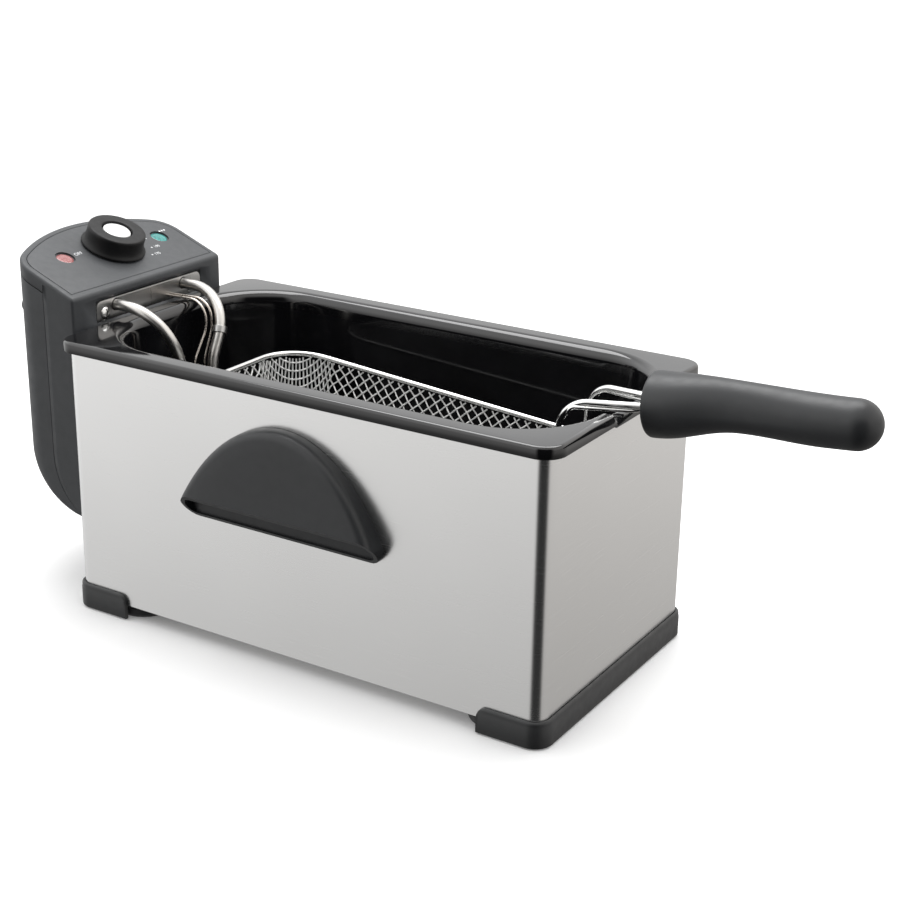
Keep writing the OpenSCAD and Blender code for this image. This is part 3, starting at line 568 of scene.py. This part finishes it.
def outline(inset):
    """The unit's plan. Returns the front part, seam to seam round the face, then the rear part."""
    front, rear = [], []
    side = 80 - inset
    step = max(inset, 2)
    r = max(2 - inset, 0.01)
    front += [(x, -side) for x in (SEAM, -224, -216, -208)]
    for i in range(5):
        a = math.radians(270 + 90 * i / 4)
        front.append((FACE - step + r * math.cos(a), -80 + step + r * math.sin(a)))
    limit = 80 - step - 0.2
    for y in (-70, -57.1, -47.2, -42.8, -20, 0, 20, 42.8, 47.2, 57.1, 70):
        front.append((FACE - inset, max(-limit, min(limit, y))))
    for i in range(5):
        a = math.radians(90 * i / 4)
        front.append((FACE - step + r * math.cos(a), 80 - step + r * math.sin(a)))
    front += [(x, side) for x in (-208, -216, -224, SEAM)]
    lean = math.degrees(math.atan2(58, 114.1))
    rear += [(x, side) for x in (SEAM - 0.45, -234)]
    for i in range(13):
        a = math.radians(90 + (90 - lean) * i / 12)
        rear.append((-239.1 + (22 - inset) * math.cos(a), 58 + (22 - inset) * math.sin(a)))
    for i in range(1, 28):
        a = math.radians(180 - lean + 2 * lean * i / 28)
        rear.append((-125 + (150 - inset) * math.cos(a), (150 - inset) * math.sin(a)))
    for i in range(13):
        a = math.radians(180 + lean + (90 - lean) * i / 12)
        rear.append((-239.1 + (22 - inset) * math.cos(a), -58 + (22 - inset) * math.sin(a)))
    rear += [(x, -side) for x in (-234, SEAM - 0.45)]
    return front, rear


def on_top(xy, drop):
    return (xy[0], xy[1], 221.5 + (FACE - xy[0]) * TAN - drop / COS)


HEEL_TOP, HEEL_HIGH, HEEL_LONG = 102, 45, 50
HEEL_FADE = 37  # within this distance of the face the plan moves less


def forward(x, z, front=FACE):
    """Moves x forward where the lower rear edge is rounded."""
    t = min(1, max(0, (HEEL_TOP - z) / HEEL_HIGH))
    move = HEEL_LONG - HEEL_LONG * math.sqrt(1 - t * t)
    return min(front, x + move * min(1, max(0, (FACE - x) / HEEL_FADE)))


def control_shell():
    rows = [(0, 4.0, 0.9, 9.5), (0, 3.6, 0.3, 9.3), (0, 3.2, 0, 8.8), (0, 2.4, 0, 2.4), (0.12, 1.6, 0.12, 1.6),
            (0.5, 0.8, 0.5, 0.8), (1.2, 0.22, 1.2, 0.22), (2.1, 0, 2.1, 0), (4.5, 0, 4.5, 0),
            (4.75, 0.2, 4.75, 0.2), (4.85, 0.6, 4.85, 0.6), (4.85, 1.3, 4.85, 1.3)]
    top = []
    for front_inset, front_drop, rear_inset, rear_drop in rows:
        ring = [on_top(p, front_drop) for p in outline(front_inset)[0]]
        ring += [on_top(p, rear_drop) for p in outline(rear_inset)[1]]
        top.append(ring)
    cap = loft(top, cap_end=True)
    # the underside of the skirt over the rear cover
    skirt = loft([[on_top(p, d) for p in outline(i)[1]] for i, d in ((0.9, 9.5), (2.4, 9.5), (2.6, 4))],
                 closed=False)
    # the front body, from the cap down to the flat underside
    front = outline(0)[0]
    body = [[on_top(p, 4.0) for p in front]]
    for z, inset in ((214.9, 0), (199.2, 0), (188, 0), (120, 0), (102, 0), (95, 0), (88, 0), (80, 0), (72, 0), (66, 0),
                     (62, 0), (59.2, 0), (57.9, 0.35), (57.25, 0.9), (57.0, 1.8)):
        body.append([(forward(x, z, FACE - inset), y, z) for x, y in outline(inset)[0]])
    points, faces = loft(body, closed=False)
    n = len(front)
    kept = []
    for face in faces:
        x = sum(points[i].x for i in face) / 4
        y = sum(points[i].y for i in face) / 4
        z = sum(points[i].z for i in face) / 4
        rail = x > -201 and 42.8 < abs(y) < 47.2 and z < 188
        pocket = x > -201 and abs(y) < 57.1 and 199.2 < z < 214.9
        if not (rail or pocket):
            kept.append(face)
    obj = mesh_object("unit_shell", [cap, skirt, (points, kept)], 38)
    centre = metres((-225, 0, 150))
    facing(obj, lambda c: c - centre)
    thicken(obj, 2.4, False)
    place(obj, "control_unit", UNIT, "control_housing")


def rear_cover():
    def row(z, inset=0.0, drop=None):
        ring = []
        for x, y in outline(inset)[1]:
            if drop is None:
                ring.append((forward(x, z, FACE - 2.6), y, z))
            else:
                ring.append(on_top((x, y), drop))
        return ring

    rows = [row(57, 1.8), row(57.25, 0.9), row(57.9, 0.35)]
    rows += [row(z) for z in (59.2, 60.6, 62, 64, 66, 69, 72, 76, 80, 84, 88, 91.5, 95, 98.5, 102, 120, 150, 180, 205)]
    rows += [row(0, 0, 10.9), row(0, 0.1, 10.3), row(0, 0.5, 10.0)]
    under = ([Vector(p) for p in rows[0]], [tuple(range(len(rows[0])))])
    obj = mesh_object("unit_rear_cover", [loft(rows, closed=False), under], 50)
    centre = metres((-225, 0, 150))
    facing(obj, lambda c: c - centre)
    thicken(obj, 2.2, False)
    cutters = []
    for y in (-62, 62):
        for z in (95, 205):
            profile = [(5, -290), (5, -240)]
            cutters.append(mesh_object("cutter", [lathe(profile, lambda a, b, h: (h, y + a, z + b), 40, True, True)]))
    cut(obj, cutters)
    place(obj, "control_unit", UNIT, "control_rear_cover")
    wells = []
    for y in (-62, 62):
        for z in (95, 205):
            depth = -258 if z == 95 else -262
            profile = [(5.6, depth), (5.02, depth), (5.02, -240.4), (2.1, -240.4), (2.1, -238), (5.6, -238)]
            wells.append(lathe(profile, lambda a, b, h: (h, y + a, z + b), 40))
    place(mesh_object("cover_screw_wells", wells), "control_unit", INNER)


def panel(x, y, h):
    return (FACE + x * COS + h * SIN, y, 221.5 - x * SIN + h * COS)


KNOB_AT, RED_AT, GREEN_AT = (-42, 5.2), (-45, -41.4), (-39.5, 54)


def fascia():
    rings = []
    for inset, drop in ((5.2, 1.2), (5.2, 0.3), (5.35, 0.08), (5.7, 0)):
        front, rear = outline(inset)
        rings.append([on_top(p, drop) for p in front + rear])
    obj = mesh_object("unit_fascia", [loft(rings, cap_start=True, cap_end=True)])
    cutters = []
    for at, r in ((RED_AT, 7.35), (GREEN_AT, 7.35), (KNOB_AT, 3.6)):
        cutters.append(mesh_object("cutter", [lathe([(r, -4), (r, 4)],
                       lambda a, b, h: panel(at[0] + a, at[1] + b, h), 64, True, True)]))
    cut(obj, cutters)
    bevel(obj, 0.25, 2, 50)
    place(obj, "control_unit", FASCIA, "control_fascia")


def lens(at, name, material, cad):
    profile = [(0, -0.72), (2.3, -0.74), (4.6, -0.82), (5.9, -1.0), (6.3, -1.3), (6.4, -1.7), (6.4, -3.7), (9, -3.75),
               (9, -5.1)]
    obj = mesh_object(name, [lathe(profile, lambda a, b, h: panel(at[0] + a, at[1] + b, h), 64, False, True)])
    place(obj, "control_unit", material, cad)


def knob():
    def to(a, b, h):
        return panel(KNOB_AT[0] + a, KNOB_AT[1] + b, h)

    profile = [(3.1, 1.2), (23.2, 1.2), (23.8, 1.35), (24.0, 1.8), (23.85, 2.4), (23.2, 3.1), (22.3, 4.4), (21.7, 6.4),
               (21.4, 9), (21.4, 11.5), (21.45, 13.4), (21.2, 14.6), (20.6, 15.25), (19.4, 15.4), (14, 15.4),
               (12.1, 15.35), (11.6, 15.1), (11.4, 14.6), (11.3, 11.7), (3.1, 11.7)]
    obj = mesh_object("dial_knob", [lathe(profile, to, 96)], 50)
    place(obj, "temperature_knob", KNOB, "control_knob")
    cap = [(0, 15.0), (3, 14.95), (6, 14.8), (8.6, 14.5), (9.8, 14.2), (10.25, 13.8), (10.35, 13.2), (10.35, 11.8)]
    obj = mesh_object("dial_cap", [lathe(cap, to, 72, False, True)], 50)
    place(obj, "temperature_knob", CAP, "knob_cap")
    mark = [(0, 0.8), (0.35, 0.7), (0.55, 0.4), (0.6, 0)]
    turn = math.radians(-15)
    obj = mesh_object("dial_pointer", [lathe(mark, lambda a, b, h: to(
        (22.35 + h * 0.55) * math.cos(turn) - a * math.sin(turn), (22.35 + h * 0.55) * math.sin(turn) + a * math.cos(turn),
        3.4 + b), 20, False, True)])
    place(obj, "temperature_knob", PRINT)


def text(name, body, x, y, size):
    data = bpy.data.curves.new(name, "FONT")
    data.body = body
    data.size = size / 1000
    data.extrude = 0.00003
    data.align_x = "CENTER"
    data.align_y = "CENTER"
    obj = bpy.data.objects.new(name, data)
    bpy.context.scene.collection.objects.link(obj)
    origin = metres(panel(x, y, 0.03))
    across = Vector((0, 1, 0))
    up = -(metres(panel(1, 0, 0)) - metres(panel(0, 0, 0))).normalized()
    out = across.cross(up)
    obj.matrix_world = Matrix((
        (across.x, up.x, out.x, origin.x), (across.y, up.y, out.y, origin.y), (across.z, up.z, out.z, origin.z),
        (0, 0, 0, 1)))
    place(obj, "control_unit", PRINT)


def dots():
    marks = []
    for x, y, r in ((-29.5, 34.6, 0.75), (-21.5, 26.6, 0.75), (-41, 40.5, 0.6)):
        marks.append(lathe([(0, 0.07), (r - 0.1, 0.07), (r, 0)], lambda a, b, h: panel(x + a, y + b, h), 20))
    for k in range(3):
        y = 60.2 + 2.6 * k
        marks.append(lathe([(0, 0.07), (0.8, 0.07), (0.9, 0)], lambda a, b, h: panel(-45 + a, y + b, h), 20))
    place(mesh_object("panel_dots", marks), "control_unit", PRINT)


control_shell()
rear_cover()
fascia()
lens(RED_AT, "lamp_red", RED, "red_lens")
lens(GREEN_AT, "lamp_green", GREEN, "green_lens")
knob()
dots()
text("label_off", "OFF", -45, -28, 4.6)
text("label_190", "190", -29.2, 40, 3.9)
text("label_170", "170", -21.2, 32, 3.9)


# ---------------------------------------------------------------- heater

def heater_plate():
    y, top, low, r = 56.2, 214.0, 199.5, 5
    flat = []
    for cy, start in ((y - r, 0), (r - y, 90)):
        for i in range(9):
            a = math.radians(start + 90 * i / 8)
            flat.append((cy + r * math.cos(a), top - r + r * math.sin(a)))
    flat += [(-y, low), (y, low)]
    middle = (0, (top + low) / 2)

    def ring(x, inset):
        out = []
        for a, b in flat:
            da, db = a - middle[0], b - middle[1]
            out.append((x, a - inset * (1 if da > 0 else -1), b - inset * (1 if db > 0 else -1)))
        return out

    obj = mesh_object("heater_cover_plate", [loft([ring(-201.4, 0), ring(-200.35, 0), ring(-200.1, 0.1),
                                                   ring(-200, 0.4)], cap_start=True, cap_end=True)])
    cutters = [mesh_object("cutter", [lathe([(4.6, -205), (4.6, -195)], lambda a, b, h: (h, s * 36.5 + a, 208.5 + b),
                                            48, True, True)]) for s in (-1, 1)]
    cut(obj, cutters)
    place(obj, "control_unit", STEEL_PLAIN, "heater_plate")


def screw_head(y, r):
    z = 204
    dome = [(0, 0.46 * r), (0.3 * r, 0.43 * r), (0.6 * r, 0.33 * r), (0.85 * r, 0.17 * r), (r, 0.02), (r, -0.5)]
    obj = mesh_object("plate_screw", [lathe(dome, lambda a, b, h: (FACE + h, y + a, z + b), 48, False, True)])
    slot = []
    for sx in (-1, 1):
        slot.append([(FACE + h, y + sx * 0.45, z + v) for h, v in ((0.2 * r, -9), (3, -9), (3, 9), (0.2 * r, 9))])
    cut(obj, [mesh_object("cutter", [loft(slot, cap_start=True, cap_end=True)])])
    return obj


def heater():
    halves = []
    for side, inner, tilt in ((-1, 16.5, 20), (1, 13.3, 27)):
        knee = 208.5 - (36.5 - inner) / math.tan(math.radians(tilt))
        halves.append(bent([(-222, side * 36.5, 208.5), (-154.5, side * 36.5, 208.5), (-154.5, side * inner, knee),
                            (-154.5, side * inner, 66), (-154.5, side * 62, 66), (140, side * 62, 66), (140, 0, 66)],
                           [35, 30, 14, 16, 28], 18))
    obj = wires("heater_tube", [halves[1] + halves[0][-2::-1]], 4, resolution=6)
    place(obj, "control_unit", TUBE, "heating_element")
    first = screw_head(-48, 4.8)
    place(first, "control_unit", SCREW, "plate_screws")
    first.name = "plate_screw_near"
    second = screw_head(44, 3.5)
    second.name = "plate_screw_far"
    place(second, "control_unit", SCREW)
    paths = []
    for i, (x, y) in enumerate(((-162, 13.3), (-165.2, 6))):
        start, out = 25 - 4 * i, -154.5 - 2 * i
        paths.append(bent([(-214, start, 201.8), (out - 9.5, start, 204 - 0.5 * i), (out - 7.7, start - 2, 183),
                           (x, y, 162), (x, y, 150)], [15, 20, 12]))
    obj = wires("capillaries", paths, 1.0, resolution=3)
    place(obj, "control_unit", COPPER, "sensor_capillaries")
    bulbs = []
    for x, y, low in ((-162, 13.3, 100), (-165.2, 6, 118)):
        profile = [(0, low), (1.6, low + 0.3), (2.6, low + 1.3), (3, low + 3),
                   (3, 146), (2.6, 147.6), (1.7, 149), (1.15, 150)]
        bulbs.append(lathe(profile, lambda a, b, h: (x + a, y + b, h), 32))
    place(mesh_object("bulbs", bulbs), "control_unit", TUBE, "sensor_bulbs")


heater_plate()
heater()
soften("bulb_clip", 0.25, STEEL_PLAIN)
paint("plate_gasket", RUBBER)
paint("heater_terminals", CERAMIC)
soften("thermostat_body", 0.5, INNER)
soften("thermal_cutout", 0.4, INNER)
soften("microswitch", 0.4, INNER)
soften("terminal_block", 0.5, CERAMIC)
paint("neon_lamps", CERAMIC)
soften("cord_gland", 0.6, RUBBER)
soften("reset_button", 0.4, BUTTON)
soften("cover_screws", 0.2, SCREW)
paint("thermostat_shaft", TUBE)


# ---------------------------------------------------------------- basket

TILT = math.radians(4.3)


def basket_at(x, y, z):
    return Vector((20.5 + x * math.cos(TILT) + z * math.sin(TILT), y, 157.1 - x * math.sin(TILT) + z * math.cos(TILT)))


def pressed(u, v):
    """A point of the flat wire cloth, carried to its place on the pressed basket, with its normal."""
    a, b, r, fold = 123.4, 45.5, 25, 9
    kx = max(-(a - r), min(a - r, u))
    ky = max(-(b - r), min(b - r, v))
    wx, wy = u - kx, v - ky
    size = math.hypot(wx, wy)
    q = size - r
    lean = math.radians(79.3)
    start = -fold * math.tan(lean / 2)
    floor = -75.4
    if size < 1e-6 or q < start:
        return Vector((u, v, floor)), Vector((0, 0, 1)), 0.0
    n = Vector((wx / size, wy / size, 0))
    turn = min((q - start) / fold, lean)
    out = start + fold * math.sin(turn)
    up = fold * (1 - math.cos(turn))
    extra = (q - start) - fold * lean
    if extra > 0:
        out += extra * math.cos(lean)
        up += extra * math.sin(lean)
    base = Vector((kx, ky, floor)) + n * (r + out)
    normal = -n * math.sin(turn) + Vector((0, 0, 1)) * math.cos(turn)
    return base + Vector((0, 0, up)), normal, up


def weave():
    pitch, high = 6.2, 74.0
    root = math.sqrt(0.5)
    reach = 240
    count = int(reach / pitch)
    paths = []
    for family in (0, 1):
        for i in range(-count, count + 1):
            path = []
            for j in range(-2 * count, 2 * count + 1):
                c, s = (i + 0.5) * pitch, j * pitch / 2
                u, v = ((c + s) * root, (s - c) * root) if family == 0 else ((c + s) * root, (c - s) * root)
                if abs(u) > 205 or abs(v) > 127:
                    up = 999
                else:
                    base, normal, up = pressed(u, v)
                if up > high:
                    if len(path) > 3:
                        paths.append(path)
                    path = []
                    continue
                lift = 0.0
                if j % 2:
                    k = (j - 1) // 2
                    lift = 0.6 if (i + k + family) % 2 else -0.6
                place_at = base + normal * lift
                path.append(basket_at(*place_at))
            if len(path) > 3:
                paths.append(path)
    obj = wires("woven_mesh", paths, 0.6, resolution=1)
    place(obj, "basket", MESH, "basket_mesh")


def basket():
    rim = [basket_at(x, y, z) for x, y, z in rounded_ring(276, 116, 34, 0, n=20)]
    place(wires("basket_rim", [rim], 1.9, True, 6), "basket", CHROME, "basket_rim_wire")
    weave()
    soften("basket_bracket", 0.3, CHROME)


basket()


# ---------------------------------------------------------------- basket handle

def handle():
    pitch = math.radians(5.3)

    def axis(s):
        return Vector((206.5 + s * math.cos(pitch), 0, 201.6 + s * math.sin(pitch)))

    eye = basket_at(129, 0, -8)
    paths = []
    for side in (-1, 1):
        paths.append(bent([axis(24) + Vector((0, side * 4.5, 0)), (153, side * 20, 198.8), (eye.x, side * 20, eye.z),
                           (eye.x, side * 27, eye.z)], [20, 2.6], 16))
    place(wires("handle_wire", paths, 2.1, False, 6), "basket_handle", CHROME, "handle_wires")
    drop = 3.9
    half = bent([(158.5, 21.5, 192), (159.5, 21, 200.1 - drop), (201, 10.5, 202.3 - drop), (201, 0, 202.3 - drop)],
                [4, 7])
    obj = wires("drain_hook", [half + mirrored(half[:-1])], 1.2, resolution=4)
    place(obj, "basket_handle", CHROME, "rest_hook")

    def blend(t):
        return (1 - math.cos(math.pi * min(max(t, 0), 1))) / 2

    def radius(s):
        if s < 58:
            return 21 + (12.4 - 21) * blend((s - 4) / 54)
        return 12.4 + 3.1 * blend((s - 58) / 55)

    # distance along the grip, then how far its skin reaches up, down and sideways
    rows = [(0, 0.01, 0.01, 0.01)]
    for i in range(0, 8):
        a = math.radians(90 * i / 7)
        rows.append((2.4 - 2.4 * math.cos(a), *[18.6 + 2.4 * math.sin(a)] * 3))
    for s in range(4, 129, 3):
        up, down = 21 - 5.5 * blend((s - 20) / 115), radius(s)
        rows.append((s, up, down, down + 0.35 * (up - down)))
    for i in range(0, 13):
        a = math.radians(90 * i / 12)
        rows.append((129.5 + 15.5 * math.sin(a), *[max(15.5 * math.cos(a), 0.01)] * 3))
    along = Vector((math.cos(pitch), 0, math.sin(pitch)))
    up = Vector((-math.sin(pitch), 0, math.cos(pitch)))
    rings = []
    for s, high, low, wide in rows:
        ring = []
        for k in range(72):
            a = 2 * math.pi * k / 72
            reach = high if math.sin(a) > 0 else low
            ring.append(axis(s) + up * reach * math.sin(a) + Vector((0, wide * math.cos(a), 0)))
        rings.append(ring)
    obj = mesh_object("grip", [loft(rings)], 50)
    place(obj, "basket_handle", HANDLE, "handle_grip")


handle()


# ---------------------------------------------------------------- floor, light, world

def stage():
    def sheet(name, corners, material):
        mesh = bpy.data.meshes.new(name)
        mesh.from_pydata(corners, [], [tuple(range(len(corners)))])
        obj = bpy.data.objects.new(name, mesh)
        bpy.context.scene.collection.objects.link(obj)
        mesh.materials.append(material)
        return obj

    pale = Nodes("pale_floor").set(Roughness=0.9)
    pale.set(**{"Base_Color": (0.93, 0.93, 0.93, 1)})
    floor = sheet("floor", [(-6, -6, 0), (6, -6, 0), (6, 6, 0), (-6, 6, 0)], pale.material)
    pale.shader.inputs["Emission Color"].default_value = (1, 1, 1, 1)
    pale.shader.inputs["Emission Strength"].default_value = 0.1
    # the object sees the world's lower half instead of the floor
    floor.visible_glossy = False
    floor.visible_diffuse = False

    def softbox(name, where, aim, size, power):
        data = bpy.data.lights.new(name, "AREA")
        data.shape = "RECTANGLE"
        data.size, data.size_y = size
        data.energy = power
        lamp = bpy.data.objects.new(name, data)
        lamp.location = where
        lamp.rotation_mode = "QUATERNION"
        lamp.rotation_quaternion = (Vector(aim) - Vector(where)).to_track_quat("-Z", "Y")
        bpy.context.scene.collection.objects.link(lamp)

    softbox("top_light", (-0.2, 0.35, 1.35), (0, 0, 0.15), (1.3, 0.8), 16)

    world = bpy.data.worlds.new("studio")
    bpy.context.scene.world = world
    world.use_nodes = True
    tree = world.node_tree
    tree.nodes.clear()

    def new(kind, **values):
        made = tree.nodes.new(kind)
        for key, value in values.items():
            setattr(made, key, value)
        return made

    def join(a, b):
        tree.links.new(a, b)

    where = new("ShaderNodeTexCoord")
    split = new("ShaderNodeSeparateXYZ")
    join(where.outputs["Generated"], split.inputs[0])
    height = new("ShaderNodeMapRange")
    height.inputs["From Min"].default_value = -1
    height.inputs["From Max"].default_value = 1
    join(split.outputs["Z"], height.inputs["Value"])

    def ramp(source, stops):
        made = new("ShaderNodeValToRGB")
        cr = made.color_ramp
        while len(cr.elements) < len(stops):
            cr.elements.new(0.5)
        for e, (at, colour) in zip(cr.elements, stops):
            e.position = at
            e.color = (*colour, 1)
        join(source, made.inputs[0])
        return made.outputs[0]

    def grey(v):
        return (v, v, v)

    # brightness by height (0 is straight down, 1 straight up), halved so that it fits the ramp
    vertical = ramp(height.outputs[0], [(0.0, grey(0.14)), (0.25, grey(0.25)), (0.29, grey(0.325)), (0.34, grey(0.46)),
                                        (0.40, grey(0.53)), (0.55, grey(0.6)), (0.66, grey(0.85)), (0.75, grey(0.95)),
                                        (1.0, grey(0.7))])
    angle = new("ShaderNodeMath", operation="ARCTAN2")
    join(split.outputs["Y"], angle.inputs[0])
    join(split.outputs["X"], angle.inputs[1])
    share = new("ShaderNodeMapRange")
    share.inputs["From Min"].default_value = -math.pi
    share.inputs["From Max"].default_value = math.pi
    join(angle.outputs[0], share.inputs["Value"])

    def compass(degrees):
        return (degrees + 180) / 360

    around = ramp(share.outputs[0], [(compass(-175), grey(1)), (compass(-20), (0.74, 0.72, 0.7)),
                                     (compass(90), (0.74, 0.72, 0.7)), (compass(105), grey(0.62)),
                                     (compass(150), grey(0.7)), (compass(170), grey(1))])
    # a dark part of the room on the viewer's side, which fades out towards the ceiling
    sector = ramp(share.outputs[0], [(compass(-103), grey(0)), (compass(-88), grey(1)), (compass(-30), grey(1)),
                                     (compass(-14), grey(0))])
    low = ramp(height.outputs[0], [(0.74, grey(1)), (0.89, grey(0))])

    def blended(kind, factor, one, two):
        made = new("ShaderNodeMix", data_type="RGBA", blend_type=kind)
        for value, socket in ((factor, made.inputs["Factor"]), (one, made.inputs[6]), (two, made.inputs[7])):
            if hasattr(value, "is_output"):
                join(value, socket)
            else:
                socket.default_value = value
        return made.outputs[2]

    shade = blended("MULTIPLY", 1, sector, low)
    bright = blended("MULTIPLY", 1, vertical, around)
    reflected = new("ShaderNodeBackground")
    reflected.inputs["Strength"].default_value = 2
    join(blended("MIX", shade, bright, (0.012, 0.012, 0.012, 1)), reflected.inputs["Color"])
    ambient = new("ShaderNodeBackground")
    ambient.inputs["Strength"].default_value = 2
    skylight = ramp(height.outputs[0], [(0.0, grey(0.15)), (0.46, grey(0.17)), (0.56, grey(0.5)), (0.75, grey(0.62)),
                                        (1.0, grey(0.62))])
    join(blended("MIX", shade, skylight, (0.05, 0.05, 0.05, 1)), ambient.inputs["Color"])
    plain = new("ShaderNodeBackground")
    plain.inputs["Color"].default_value = (1, 1, 1, 1)
    plain.inputs["Strength"].default_value = 1.12
    path = new("ShaderNodeLightPath")
    shown = new("ShaderNodeMixShader")
    join(path.outputs["Is Camera Ray"], shown.inputs[0])
    join(ambient.outputs[0], shown.inputs[1])
    join(plain.outputs[0], shown.inputs[2])
    choose = new("ShaderNodeMixShader")
    join(path.outputs["Is Glossy Ray"], choose.inputs[0])
    join(shown.outputs[0], choose.inputs[1])
    join(reflected.outputs[0], choose.inputs[2])
    out = new("ShaderNodeOutputWorld")
    join(choose.outputs[0], out.inputs[0])
    bpy.context.scene.view_settings.view_transform = "Standard"


stage()
